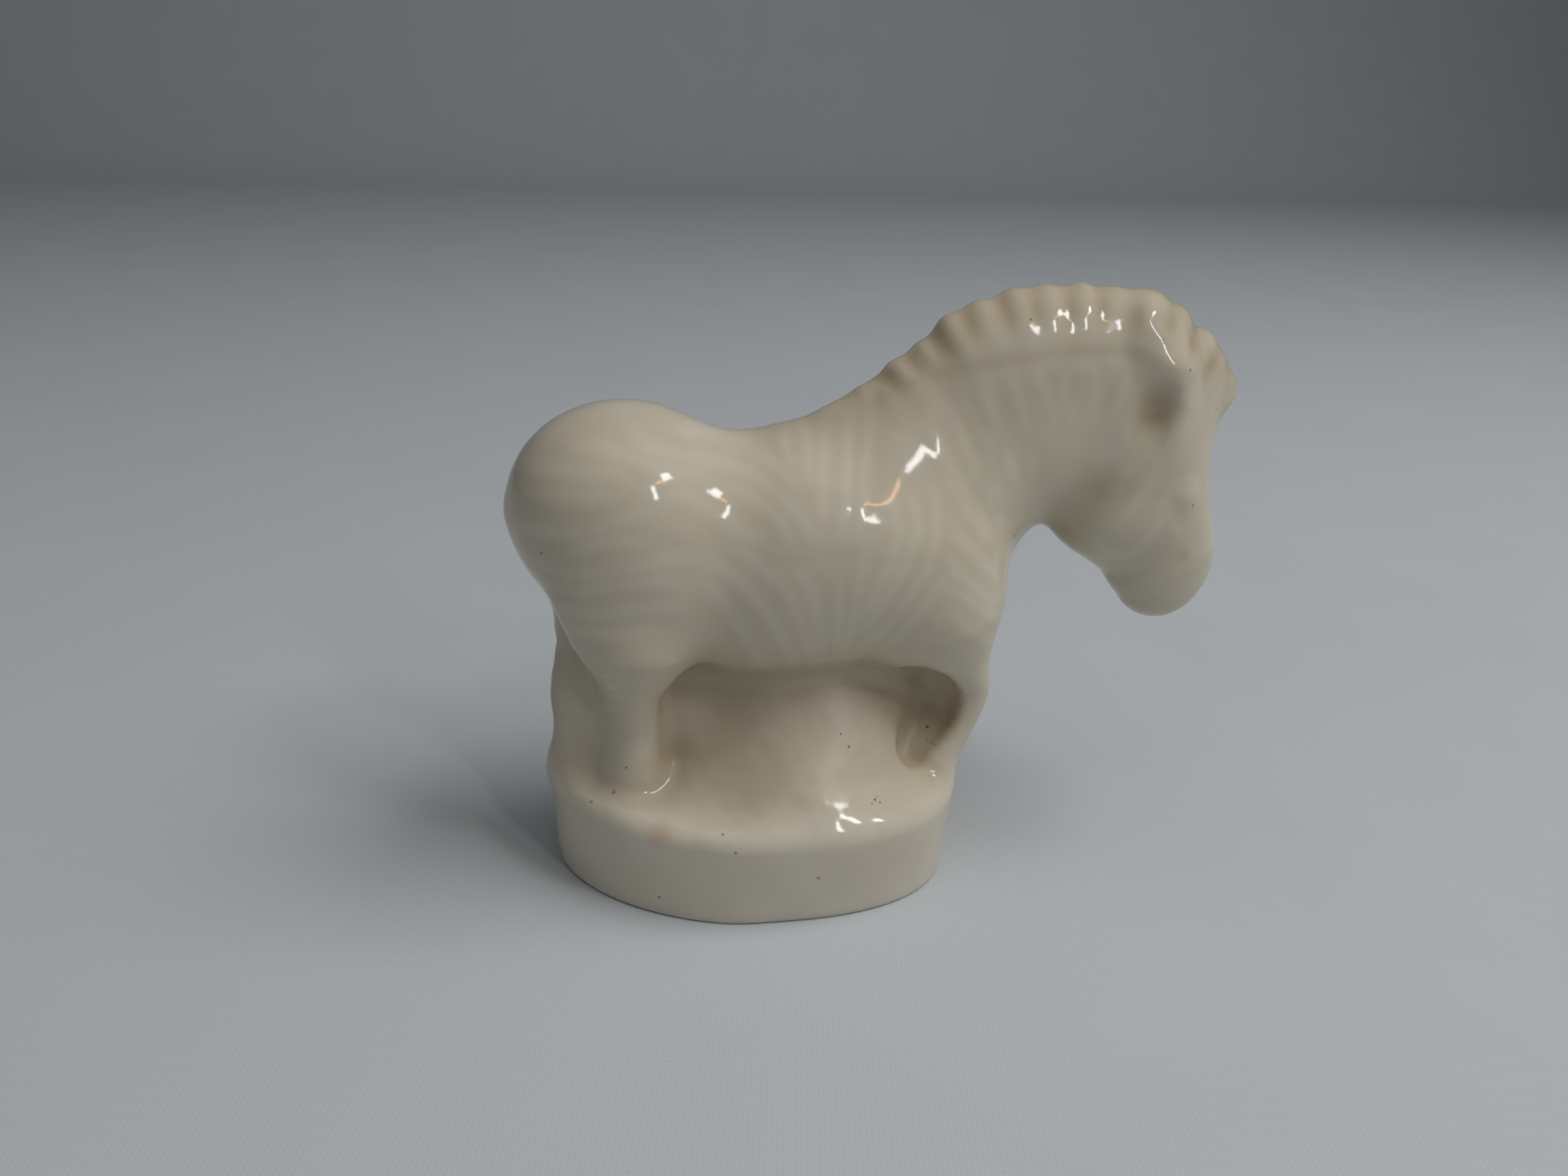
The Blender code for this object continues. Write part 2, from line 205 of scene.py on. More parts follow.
BARREL_STRIPES = [
    [(1.5, 22.4), (1.2, 21.7), (1.4, 20.8)],
    [(2.6, 22.8), (2.3, 21.2), (2.5, 19.8)],
    [(3.7, 23.0), (3.2, 21.3), (2.9, 19.7), (2.8, 18.1)],
    [(5.0, 23.4), (4.7, 21.4), (4.3, 19.7), (4.0, 17.9), (4.1, 17.0)],
    [(6.3, 23.8), (5.9, 21.9), (5.4, 19.8), (5.0, 17.6)],
    [(3.9, 15.6), (3.9, 13.3), (4.4, 8.2)],
    [(5.1, 16.4), (5.0, 14.2), (4.8, 11.1), (4.8, 7.6)],
]
CANNON_RINGS = [
    [(-10.3, 8.7), (-9.4, 8.8), (-8.5, 9.2)],
    [(-10.2, 7.7), (-9.4, 7.9), (-8.6, 8.3)],
    [(-10.1, 6.7), (-9.4, 7.0), (-8.6, 7.4)],
    [(-10.0, 5.8), (-9.3, 6.1), (-8.7, 6.4)],
]
CHEEK_STRIPES = [
    [(22.6, 20.8), (21.9, 18.8), (21.3, 17.1)],
    [(24.3, 19.9), (23.3, 18.3), (22.2, 16.7)],
    [(21.2, 15.5), (22.4, 14.5), (23.6, 14.5), (24.6, 15.9), (25.5, 17.4)],
    [(25.4, 16.9), (26.9, 15.6)],
]
# group, ridge height, ridge half width
STRIPES = [
    (NECK_STRIPES, 0.030, 0.42),
    (CHEST_STRIPES, 0.035, 0.46),
    (SHOULDER_STRIPES, 0.022, 0.46),
    (CROUP_STRIPES, 0.022, 0.50),
    (FLANK_STRIPES, 0.022, 0.50),
    (RUMP_STRIPES, 0.016, 0.56),
    (BARREL_STRIPES, 0.026, 0.42),
    (CANNON_RINGS, 0.022, 0.32),
    (CHEEK_STRIPES, 0.035, 0.50),
]

MANE_MIDDLE = (17.5, 15.5)     # the tufts of the mane spread from here
MANE_HOLLOWS = [
    (7.7, 25.4), (9.1, 26.4), (10.7, 27.5), (12.2, 28.6), (14.3, 29.3), (16.1, 29.6),
    (18.2, 29.7), (20.2, 29.8), (22.2, 29.4), (24.4, 29.0), (26.1, 27.7), (27.8, 26.3),
]
MANE_GROOVE = [
    (6.0, 23.6), (8.0, 25.0), (11.3, 26.2), (15.6, 27.0), (20.0, 27.4), (23.1, 27.0), (25.0, 26.0),
]
MANE_LOBES = 43.6              # lobes in a full turn round MANE_MIDDLE
LOBE_HEIGHT = 0.06
POLL_LUMPS = (24.0, 28.0)      # middle of the lumpy clay on the poll

# Centre and radii, the same on both sides.
EAR_HOLLOW = ((23.7, 4.6, 23.8), (0.9, 1.6, 1.7))
EYE = ((26.4, 2.5, 18.4), (0.9, 0.7, 0.8))

# Pooled glaze and painted shade in hollows, and small flaws

# Glaze pooled in small hollows of both sides, with painted shade there: X, least Y, Z, radius, amount.
GLAZE_POOLS_AND_SHADE = [
    (23.7, 2.2, 23.8, 1.2, 0.85), (27.4, 2.2, 14.2, 0.40, 0.55), (-5.0, 1.6, 2.4, 0.9, 0.35),
    (11.5, 0.8, 3.7, 0.9, 0.45), (-4.2, 1.6, 7.6, 1.5, 0.25), (9.9, 1.6, 8.0, 1.3, 0.2),
    (21.4, 1.2, 18.8, 1.5, 0.6), (26.2, 1.6, 14.3, 1.7, 0.25), (24.9, 2.6, 20.9, 0.9, 0.2),
]
# Small flaws of the side shown: X, Y, Z, radius.
DARK_SPECKS = [
    (15.7, -1.97, 29.15, 0.09), (15.89, -2.66, 15.81, 0.10), (5.24, -5.97, 3.26, 0.11),
    (11.33, -2.65, 2.46, 0.14), (8.13, -4.1, 7.77, 0.09), (-3.0, -3.05, 7.93, 0.10),
    (-8.55, -4.48, 1.77, 0.10), (-6.8, -8.04, -5.57, 0.12), (4.8, -5.51, 3.94, 0.09),
    (6.69, -7.85, 0.5, 0.12), (7.02, -8.0, 0.4, 0.09), (6.45, -8.1, 0.4, 0.07),
    (6.85, -7.6, 0.5, 0.06), (11.16, -3.36, 1.86, 0.06), (11.28, -3.6, 1.88, 0.06),
    (11.40, -3.85, 1.9, 0.06), (11.52, -4.1, 1.93, 0.06),
]
RUST_SPECKS = [
    (27.34, -3.03, 17.68, 0.14), (28.47, -1.81, 23.6, 0.13), (25.46, -3.45, 26.41, 0.12),
    (-13.09, -4.64, 16.39, 0.14), (-9.37, -4.67, 0.15, 0.16), (-10.8, -4.82, -0.32, 0.14),
    (-2.98, -9.04, -0.51, 0.13), (-2.3, -9.83, -1.38, 0.13), (2.86, -9.98, -3.56, 0.14),
]
RUST_STAIN = (-6.8, -8.13, -0.88, 1.1)


def length(v):
    return np.sqrt((v * v).sum(axis=1))


def smooth_step(low, high, value):
    t = np.clip((value - low) / (high - low), 0.0, 1.0)
    return t * t * (3.0 - 2.0 * t)


def egg(p, centre, radii):
    """Signed distance to an ellipsoid, near enough for blending."""
    q = (p - np.array(centre)) / np.array(radii)
    near = length(q)
    steep = length(q / np.array(radii))
    return near * (near - 1.0) / np.maximum(steep, 1e-9)


def limb(p, width, points):
    """Signed distance to a rounded rod through points, its radius changing evenly between them."""
    q = p * np.array((1.0, 1.0 / width, 1.0))
    found = np.full(len(p), 1e9)
    for low, high in zip(points[:-1], points[1:]):
        a = np.array((low[0], low[1] / width, low[2]))
        b = np.array((high[0], high[1] / width, high[2]))
        along = b - a
        t = np.clip((q - a) @ along / (along @ along), 0.0, 1.0)
        radius = low[3] + (high[3] - low[3]) * t
        found = np.minimum(found, length(q - a - t[:, None] * along) - radius)
    return found * min(width, 1.0)


def bent(p, line):
    """Signed distance to a rod round a smooth line, its radius that of the line's nearest place."""
    best = np.full(len(p), 1e9)
    radius = np.zeros(len(p))
    for low, high in zip(line[:-1], line[1:]):
        along = high[:3] - low[:3]
        t = np.clip((p - low[:3]) @ along / (along @ along), 0.0, 1.0)
        d = length(p - low[:3] - t[:, None] * along)
        closer = d < best
        best[closer] = d[closer]
        radius[closer] = (low[3] + (high[3] - low[3]) * t)[closer]
    return best - radius


def blend(a, b, softness):
    """The lower of two distances, with the join filled as wet clay would be."""
    h = np.maximum(softness - np.abs(a - b), 0.0) / softness
    return np.minimum(a, b) - h * h * softness / 4.0


def carve(a, b, softness):
    return -blend(-a, b, softness)


def masses(p, group, softness):
    found = None
    for mass in group:
        if mass[0] == "egg":
            distance = egg(p, mass[1], mass[2])
        elif mass[0] == "limb":
            distance = limb(p, mass[1], mass[2])
        else:
            distance = bent(p, flowing(mass[1], 4))
        found = distance if found is None else blend(found, distance, softness)
    return found


def plinth(p):
    """Signed distance to the plinth. Its left end is a little pointed, its right end blunter."""
    lean = PLINTH_DRAFT * np.clip(-p[:, 2] / PLINTH_TOP, 0.0, 1.3)
    half_length = PLINTH_HALF_LENGTH - lean
    half_width = PLINTH_HALF_WIDTH - lean
    power = 1.82 + 0.95 * (0.5 + 0.5 * np.tanh(p[:, 0] / (0.25 * half_length)))
    x = np.abs(p[:, 0]) / half_length + 1e-4
    y = np.abs(p[:, 1]) / half_width + 1e-4
    round_about = (x ** power + y ** power) ** (1.0 / power)
    out = (np.hypot(p[:, 0], p[:, 1]) + 1e-3) * (1.0 - 1.0 / round_about)
    up = np.maximum(out + PLINTH_EDGE, 0.0)
    top = p[:, 2] + RIM_DROP * smooth_step(0.25, 1.05, y)
    over = np.maximum(top + PLINTH_EDGE, 0.0)
    return np.hypot(up, over) + np.minimum(np.maximum(out, top) + PLINTH_EDGE, 0.0) - PLINTH_EDGE


def mane_turn(p):
    return np.arctan2(p[:, 0] - MANE_MIDDLE[0], p[:, 2] - MANE_MIDDLE[1])


def animal(p):
    """Signed distance to the animal alone. The last number of each join is its softness."""
    side = p.copy()
    side[:, 1] = np.abs(p[:, 1])
    body = masses(p, TRUNK, 3.0)
    body = blend(body, masses(p, NECK, 2.0), 3.0)
    body = blend(body, masses(p, HEAD, 1.8), 1.9)
    body = blend(body, masses(side, HIND_LEG, 1.6), 1.6)
    body = blend(body, masses(side, FORE_LEG, 1.6), 1.8)
    lobes = LOBE_HEIGHT * np.cos(mane_turn(p) * MANE_LOBES + 1.0)
    lobes = lobes * (1.0 - 0.8 * smooth_step(0.4, 1.8, side[:, 1]))
    body = blend(body, masses(p, CREST, 1.0) - lobes, 2.2)
    body = blend(body, masses(p, TAIL, 1.0), 1.0)
    body = blend(body, masses(side, POLL, 1.0), 1.2)
    body = carve(body, egg(side, *EAR_HOLLOW), 1.5)
    return blend(body, egg(side, *EYE), 0.8)


def ground(p):
    """Signed distance to the plinth and the clay left between the legs."""
    side = p.copy()
    side[:, 1] = np.abs(p[:, 1])
    clay = blend(masses(p, WEB, 1.5), masses(side, MOUND, 2.0), 2.0)
    return blend(clay, plinth(p), 2.0)


def sculpt(p):
    """Signed distance to the whole figurine, without its fine relief."""
    side = p.copy()
    side[:, 1] = np.abs(p[:, 1])
    whole = carve(blend(animal(p), ground(p), 1.5), masses(side, CRESCENT, 1.0), 1.0)
    return -blend(-whole, p[:, 2] + PLINTH_TOP, FOOT_EDGE)


def slope_at(p, field):
    slope = np.empty_like(p)
    for axis in range(3):
        step = np.zeros(3)
        step[axis] = SLOPE_STEP
        slope[:, axis] = (field(p + step) - field(p - step)) / (2.0 * SLOPE_STEP)
    return slope


def flowing(points, steps=6):
    """More points on a smooth curve through the given ones."""
    p = np.array([points[0]] + list(points) + [points[-1]], float)
    out = []
    for i in range(1, len(p) - 2):
        a, b, c, d = p[i - 1], p[i], p[i + 1], p[i + 2]
        for t in np.arange(steps) / steps:
            out.append(0.5 * (2 * b + (c - a) * t + (2 * a - 5 * b + 4 * c - d) * t * t
                              + (3 * b - a - 3 * c + d) * t ** 3))
    out.append(p[-2])
    return np.array(out)


def stroke(xz, points, half_width, taper=1.6):
    """A soft line along points: 1 on the line, 0 off it, and fading out towards both ends."""
    line = flowing(points)
    run = np.concatenate([[0.0], np.cumsum(np.hypot(*(line[1:] - line[:-1]).T))])
    low = line.min(axis=0) - 3.5 * half_width
    high = line.max(axis=0) + 3.5 * half_width
    near = np.flatnonzero(((xz >= low) & (xz <= high)).all(axis=1))
    q = xz[near]
    best = np.full(len(q), 1e9)
    place = np.zeros(len(q))
    for i in range(len(line) - 1):
        along = line[i + 1] - line[i]
        t = np.clip((q - line[i]) @ along / max(along @ along, 1e-9), 0.0, 1.0)
        d = length(q - line[i] - t[:, None] * along)
        closer = d < best
        best[closer] = d[closer]
        place[closer] = (run[i] + t * (run[i + 1] - run[i]))[closer]
    reach = min(taper, 0.45 * run[-1])
    start = smooth_step(0.0, reach, place + 0.25 * reach)
    ends = start * smooth_step(0.0, reach, run[-1] - place + 0.25 * reach)
    found = np.zeros(len(xz))
    found[near] = np.exp(-(best / half_width) ** 2) * ends
    return found


def dimple(xz, centre, across, along, turn):
    """An oval patch, 1 at its centre. turn is the angle of its long way from Z, in radians."""
    dx = xz[:, 0] - centre[0]
    dz = xz[:, 1] - centre[1]
    u = dx * math.cos(turn) - dz * math.sin(turn)
    v = dx * math.sin(turn) + dz * math.cos(turn)
    return np.exp(-(u / across) ** 2 - (v / along) ** 2)


def lumps(p, size, seed):
    """Smooth uneven clay, from -1 to 1, made of a few waves in different directions."""
    draw = np.random.default_rng(seed)
    total = np.zeros(len(p))
    for _ in range(9):
        way = draw.normal(size=3)
        way /= np.linalg.norm(way)
        total += np.sin(p @ way * (2.0 * math.pi / size) * draw.uniform(0.7, 1.4) + draw.uniform(0, 6.28))
    return total / 4.0


def relief(p, normal):
    """Each point's height over the plain form, and the strength of its stripes (glaze tone and painted
    shade), of pooled glaze with painted shade, and of its web.
    """
    xz = p[:, [0, 2]]
    outward = normal[:, 1] * np.sign(p[:, 1])
    faces_out = smooth_step(-0.35, 0.0, outward)
    own = smooth_step(0.1, 0.6, ground(p) - animal(p))
    ridge, ridge_tone, valley, valley_tone = np.zeros((4, len(p)))
    for group, height, half_width in STRIPES:
        for points in group:
            line = stroke(xz, points, half_width)
            bed = stroke(xz, points, 2.1 * half_width)
            ridge = np.maximum(ridge, height * line)
            valley = np.maximum(valley, 0.5 * height * bed)
            ridge_tone = np.maximum(ridge_tone, line)
            valley_tone = np.maximum(valley_tone, bed)
    stripes = (ridge - valley) * faces_out * own
    # Stripe tone: lighter on the ridges and darker beside them, partly thinner and thicker glaze, partly
    # painted shading of the relief.
    tone = (ridge_tone - 0.6 * valley_tone) * faces_out * own
    beside = smooth_step(0.15, 0.5, outward)
    mane = np.zeros(len(p))
    for centre in MANE_HOLLOWS:
        turn = math.atan2(centre[0] - MANE_MIDDLE[0], centre[1] - MANE_MIDDLE[1])
        mane = np.maximum(mane, dimple(xz, centre, 0.55, 0.95, turn))
    mane = mane * smooth_step(0.0, 0.45, outward)
    crest = -0.08 * mane
    under = stroke(xz, MANE_GROOVE, 0.45) * beside
    groove = -0.02 * under
    on_ground = 1.0 - own
    mound = smooth_step(-1.8, 0.2, p[:, 2])
    lumpy = 0.035 * lumps(p, 1.5, 8) * dimple(xz, POLL_LUMPS, 1.6, 2.2, 0.0)
    uneven = (0.06 * lumps(p, 4.2, 5) + 0.022 * lumps(p, 1.7, 6)) * on_ground * mound
    plinth_side = 0.03 * lumps(p, 5.0, 7) * on_ground * (1.0 - mound) * smooth_step(-6.6, -5.5, p[:, 2])
    raised = stripes + crest + groove + lumpy + uneven + plinth_side
    # Darker in the mane's hollows and its groove: pooled glaze, and painted shade.
    pooled_glaze_and_shade = np.maximum(0.65 * mane, 0.3 * under)
    web = on_ground * smooth_step(0.3, 1.6, p[:, 2])
    return raised, tone, pooled_glaze_and_shade, web


def only(piece):
    bpy.ops.object.select_all(action="DESELECT")
    piece.select_set(True)
    bpy.context.view_layer.objects.active = piece


def apply_modifiers(piece):
    only(piece)
    for modifier in list(piece.modifiers):
        bpy.ops.object.modifier_apply(modifier=modifier.name)


def points_of(piece):
    co = np.empty(len(piece.data.vertices) * 3)
    piece.data.vertices.foreach_get("co", co)
    p = co.reshape(-1, 3) / MM
    p[:, 2] -= PLINTH_TOP
    return p


def set_points(piece, p):
    p = p.copy()
    p[:, 2] = np.maximum(p[:, 2] + PLINTH_TOP, 0.0)
    piece.data.vertices.foreach_set("co", (p * MM).ravel())
    piece.data.update()


def surface_value(piece, name, values):
    layer = piece.data.attributes.new(name, "FLOAT", "POINT")
    layer.data.foreach_set("value", np.asarray(values, np.float32))


def sculpt_zebra():
    """The clay: the plain form remeshed evenly, each point moved onto the finished form."""
    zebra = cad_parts["zebra_figurine"].copy()
    zebra.data = zebra.data.copy()
    zebra.name = zebra.data.name = "porcelain_zebra"
    zebra.parent = None
    zebra.matrix_world = Matrix.Identity(4)
    for key in list(zebra.keys()):
        del zebra[key]
    bpy.context.scene.collection.objects.link(zebra)
    only(zebra)
    bpy.ops.object.mode_set(mode="EDIT")
    bpy.ops.mesh.select_all(action="SELECT")
    bpy.ops.mesh.remove_doubles(threshold=1e-6)
    bpy.ops.object.mode_set(mode="OBJECT")
    clay = zebra.modifiers.new("even clay", "REMESH")
    clay.mode = "VOXEL"
    clay.voxel_size = CLAY_STEP * MM
    clay.use_smooth_shade = True
    apply_modifiers(zebra)
    p = points_of(zebra)
    for _ in range(5):
        slope = slope_at(p, sculpt)
        away = sculpt(p)
        pull = np.where(np.abs(away) < 1.5, away, 0.0) / np.maximum((slope * slope).sum(axis=1), 0.25)
        p -= slope * np.clip(pull, -0.4, 0.4)[:, None]
    slope = slope_at(p, sculpt)
    normal = slope / np.maximum(length(slope), 1e-6)[:, None]
    raised, tone, pooled_glaze_and_shade, web = relief(p, normal)
    # Painted shade: how closed in each point is, judged out along its normal, plus glaze pooled in the
    # listed hollows.
    near = 1.0 - sculpt(p + normal * NEAR_PROBE) / NEAR_PROBE
    far = 1.0 - sculpt(p + normal * FAR_PROBE) / FAR_PROBE
    glaze_pool_and_shade = 0.5 * near + 0.8 * far + pooled_glaze_and_shade
    for x, y, z, radius, amount in GLAZE_POOLS_AND_SHADE:
        away = length((p - np.array((x, 0.0, z))) * np.array((1.0, 0.0, 1.0)))
        beyond = smooth_step(0.6 * y, y, np.abs(p[:, 1]))
        glaze_pool_and_shade += amount * np.exp(-(away / radius) ** 2) * beyond
    p += normal * raised[:, None]
    set_points(zebra, p)
    surface_value(zebra, "glaze_pool_and_shade", np.clip(glaze_pool_and_shade, 0.0, 1.0))
    surface_value(zebra, "stripe", np.clip(tone, -1.0, 1.0))
    surface_value(zebra, "dull", np.clip(web, 0.0, 1.0))
    return zebra


def on_skin(point):
    """The nearest place on the finished form, in metres, to a point in sculpting millimetres."""
    p = np.array([point], float)
    for _ in range(6):
        slope = slope_at(p, sculpt)
        p -= slope * (sculpt(p) / np.maximum((slope * slope).sum(axis=1), 0.25))[:, None]
    slope = slope_at(p, sculpt)
    normal = slope / np.maximum(length(slope), 1e-6)[:, None]
    p += normal * relief(p, normal)[0][:, None]
    return p[0, 0] * MM, p[0, 1] * MM, (p[0, 2] + PLINTH_TOP) * MM


# Materials

GLAZE_ROUGHNESS = 0.085
WEB_ROUGHNESS = 0.42
CLAY_ROUGHNESS = 0.75
THREADS_ACROSS = 0.30      # spacing of the cloth's threads, in millimetres
THREADS_ALONG = 0.36


def new_material(name):
    material = bpy.data.materials.new(name)
    material.use_nodes = True
    nodes = material.node_tree.nodes
    return material, nodes, material.node_tree.links, nodes["Principled BSDF"]


def ranged(nodes, links, value, low, high, to_low, to_high):
    """A value mapped evenly from one range to another and held at its ends."""
    node = nodes.new("ShaderNodeMapRange")
    node.inputs["From Min"].default_value = low
    node.inputs["From Max"].default_value = high
    node.inputs["To Min"].default_value = to_low
    node.inputs["To Max"].default_value = to_high
    links.new(value, node.inputs["Value"])
    return node.outputs["Result"]


def mixed(nodes, links, factor, a, b, blend_type="MIX"):
    """Two colours mixed. Each is a socket or a plain colour."""
    node = nodes.new("ShaderNodeMix")
    node.data_type = "RGBA"
    node.blend_type = blend_type
    sockets = [s for s in node.inputs if s.type == "RGBA"]
    for socket, colour in zip(sockets, (a, b)):
        if isinstance(colour, tuple):
            socket.default_value = colour
        else:
            links.new(colour, socket)
    if isinstance(factor, float):
        node.inputs["Factor"].default_value = factor
    else:
        links.new(factor, node.inputs["Factor"])
    return [s for s in node.outputs if s.type == "RGBA"][0]


def noise(nodes, links, place, scale, detail):
    node = nodes.new("ShaderNodeTexNoise")
    node.inputs["Scale"].default_value = scale
    node.inputs["Detail"].default_value = detail
    links.new(place, node.inputs["Vector"])
    return node.outputs["Fac"]


def speck_group():
    """A mask, 1 inside a small ragged spot round a place and 0 away from it."""
    group = bpy.data.node_groups.new("speck", "ShaderNodeTree")
    given_values = (("Place", "Vector"), ("Centre", "Vector"), ("Radius", "Float"), ("Softness", "Float"))
    for name, kind in given_values:
        group.interface.new_socket(name, in_out="INPUT", socket_type="NodeSocket" + kind)
    group.interface.new_socket("Mask", in_out="OUTPUT", socket_type="NodeSocketFloat")
    nodes, links = group.nodes, group.links
    given = nodes.new("NodeGroupInput")
    result = nodes.new("NodeGroupOutput")
    away = nodes.new("ShaderNodeVectorMath")
    away.operation = "DISTANCE"
    links.new(given.outputs["Place"], away.inputs[0])
    links.new(given.outputs["Centre"], away.inputs[1])
    edge_noise = noise(nodes, links, given.outputs["Place"], 9000.0, 1.0)
    ragged = ranged(nodes, links, edge_noise, 0.0, 1.0, 0.7, 1.3)
    uneven = nodes.new("ShaderNodeMath")
    uneven.operation = "MULTIPLY"
    links.new(away.outputs["Value"], uneven.inputs[0])
    links.new(ragged, uneven.inputs[1])
    share = nodes.new("ShaderNodeMath")
    share.operation = "DIVIDE"
    links.new(uneven.outputs[0], share.inputs[0])
    links.new(given.outputs["Radius"], share.inputs[1])
    edge = nodes.new("ShaderNodeMapRange")
    edge.inputs["From Max"].default_value = 1.0
    edge.inputs["To Min"].default_value = 1.0
    edge.inputs["To Max"].default_value = 0.0
    inner = nodes.new("ShaderNodeMath")
    inner.operation = "SUBTRACT"
    inner.inputs[0].default_value = 1.0
    links.new(given.outputs["Softness"], inner.inputs[1])
    links.new(inner.outputs[0], edge.inputs["From Min"])
    links.new(share.outputs[0], edge.inputs["Value"])
    links.new(edge.outputs["Result"], result.inputs["Mask"])
    return group


def speckled(nodes, links, place, group, specks, softness):
    """One mask for a list of specks."""
    total = None
    for x, y, z, radius in specks:
        speck = nodes.new("ShaderNodeGroup")
        speck.node_tree = group
        speck.inputs["Centre"].default_value = on_skin((x, y, z))
        speck.inputs["Radius"].default_value = radius * MM
        speck.inputs["Softness"].default_value = softness
        links.new(place, speck.inputs["Place"])
        if total is None:
            total = speck.outputs["Mask"]
            continue
        either = nodes.new("ShaderNodeMath")
        either.operation = "MAXIMUM"
        links.new(total, either.inputs[0])
        links.new(speck.outputs["Mask"], either.inputs[1])
        total = either.outputs[0]
    return total


def cream_glaze():
    """Clear glaze over cream porcelain, browner where it pools in the carving and darker there as painted
    shade, paler on the plinth as painted light, with a few small flaws.
    """
    material, nodes, links, shader = new_material("cream porcelain glaze")
    shader.inputs["IOR"].default_value = 1.5
    place = nodes.new("ShaderNodeTexCoord").outputs["Object"]
    values = {}
    for name in ("glaze_pool_and_shade", "stripe", "dull"):
        node = nodes.new("ShaderNodeAttribute")
        node.attribute_name = name
        values[name] = node.outputs["Fac"]

    colour = mixed(nodes, links, noise(nodes, links, place, 260.0, 3.0),
                   (0.565, 0.50, 0.385, 1.0), (0.70, 0.645, 0.53, 1.0))
    height = nodes.new("ShaderNodeSeparateXYZ")
    links.new(place, height.inputs["Vector"])
    # Painted light: the plinth's glaze is made paler, for the brighter light that falls on it.
    on_plinth = ranged(nodes, links, height.outputs["Z"], 0.0062, 0.0085, 1.0, 0.0)
    painted_plinth_light = mixed(nodes, links, 1.0, colour, (0.16, 0.15, 0.13, 1.0), "SCREEN")
    colour = mixed(nodes, links, on_plinth, colour, painted_plinth_light)
    # Stripe tone multiplied in: thinner and thicker glaze, and painted shading of the ridges.
    stripe_glaze_and_shade = ranged(nodes, links, values["stripe"], -0.6, 0.45, 0.0, 1.0)
    tone = mixed(nodes, links, stripe_glaze_and_shade, (0.89, 0.87, 0.835, 1.0), (1.0, 1.0, 1.0, 1.0))
    colour = mixed(nodes, links, 1.0, colour, tone, "MULTIPLY")
    # Brown pooled glaze in the hollows, made deeper as painted shade there.
    pool_and_shade = ranged(nodes, links, values["glaze_pool_and_shade"], 0.15, 1.0, 0.0, 0.80)
    colour = mixed(nodes, links, pool_and_shade, colour, (0.42, 0.33, 0.205, 1.0))

    spot = speck_group()
    for specks, softness, strength, shade in (
        ([RUST_STAIN], 1.0, 0.45, (0.52, 0.30, 0.12, 1.0)),
        (RUST_SPECKS, 0.5, 0.75, (0.36, 0.15, 0.06, 1.0)),
        (DARK_SPECKS, 0.5, 0.80, (0.10, 0.075, 0.05, 1.0)),
    ):
        mask = speckled(nodes, links, place, spot, specks, softness)
        colour = mixed(nodes, links, ranged(nodes, links, mask, 0.0, 1.0, 0.0, strength), colour, shade)

    bare = ranged(nodes, links, height.outputs["Z"], 0.0003, 0.00045, 1.0, 0.0)
    clay = mixed(nodes, links, noise(nodes, links, place, 700.0, 4.0),
                 (0.60, 0.55, 0.46, 1.0), (0.74, 0.70, 0.62, 1.0))
    colour = mixed(nodes, links, bare, colour, clay)
    links.new(colour, shader.inputs["Base Color"])

    worn = nodes.new("ShaderNodeMath")
    worn.operation = "MAXIMUM"
    duller = ranged(nodes, links, values["dull"], 0.0, 1.0, GLAZE_ROUGHNESS, WEB_ROUGHNESS)
    links.new(duller, worn.inputs[0])
    unglazed = ranged(nodes, links, bare, 0.0, 1.0, GLAZE_ROUGHNESS, CLAY_ROUGHNESS)
    links.new(unglazed, worn.inputs[1])
    links.new(worn.outputs[0], shader.inputs["Roughness"])

    bump = nodes.new("ShaderNodeBump")
    bump.inputs["Strength"].default_value = 0.15
    bump.inputs["Distance"].default_value = 0.00005
    links.new(noise(nodes, links, place, 900.0, 2.0), bump.inputs["Height"])
    links.new(bump.outputs["Normal"], shader.inputs["Normal"])
    return material


def pale_cloth():
    """Plain fine cloth: two sets of threads and a faint unevenness of tone."""
    material, nodes, links, shader = new_material("pale table cloth")
    shader.inputs["Roughness"].default_value = 0.9
    place = nodes.new("ShaderNodeTexCoord").outputs["Object"]
    turned = nodes.new("ShaderNodeMapping")
    turned.inputs["Rotation"].default_value = (0.0, 0.0, math.radians(10.0))
    links.new(place, turned.inputs["Vector"])
    threads = []
    for way, spacing in (("X", THREADS_ACROSS), ("Y", THREADS_ALONG)):
        wave = nodes.new("ShaderNodeTexWave")
        wave.bands_direction = way
        wave.inputs["Scale"].default_value = 2.0 * math.pi / (20.0 * spacing * MM)
        wave.inputs["Distortion"].default_value = 0.6
        links.new(turned.outputs["Vector"], wave.inputs["Vector"])
        threads.append(wave.outputs["Fac"])
    weave = nodes.new("ShaderNodeMath")
    weave.operation = "MULTIPLY"
    links.new(threads[0], weave.inputs[0])
    links.new(threads[1], weave.inputs[1])
    patches = mixed(nodes, links, noise(nodes, links, place, 60.0, 4.0),
                    (0.545, 0.58, 0.60, 1.0), (0.585, 0.62, 0.64, 1.0))
    shade = mixed(nodes, links, weave.outputs[0], (0.95, 0.95, 0.95, 1.0), (1.0, 1.0, 1.0, 1.0))
    links.new(mixed(nodes, links, 1.0, patches, shade, "MULTIPLY"), shader.inputs["Base Color"])
    bump = nodes.new("ShaderNodeBump")
    bump.inputs["Strength"].default_value = 0.25
    bump.inputs["Distance"].default_value = 0.00003
    links.new(weave.outputs[0], bump.inputs["Height"])
    links.new(bump.outputs["Normal"], shader.inputs["Normal"])
    return material


# Floor, lamps and camera

FLOOR_REACH = 1.8
WALL_HEIGHT = 0.7


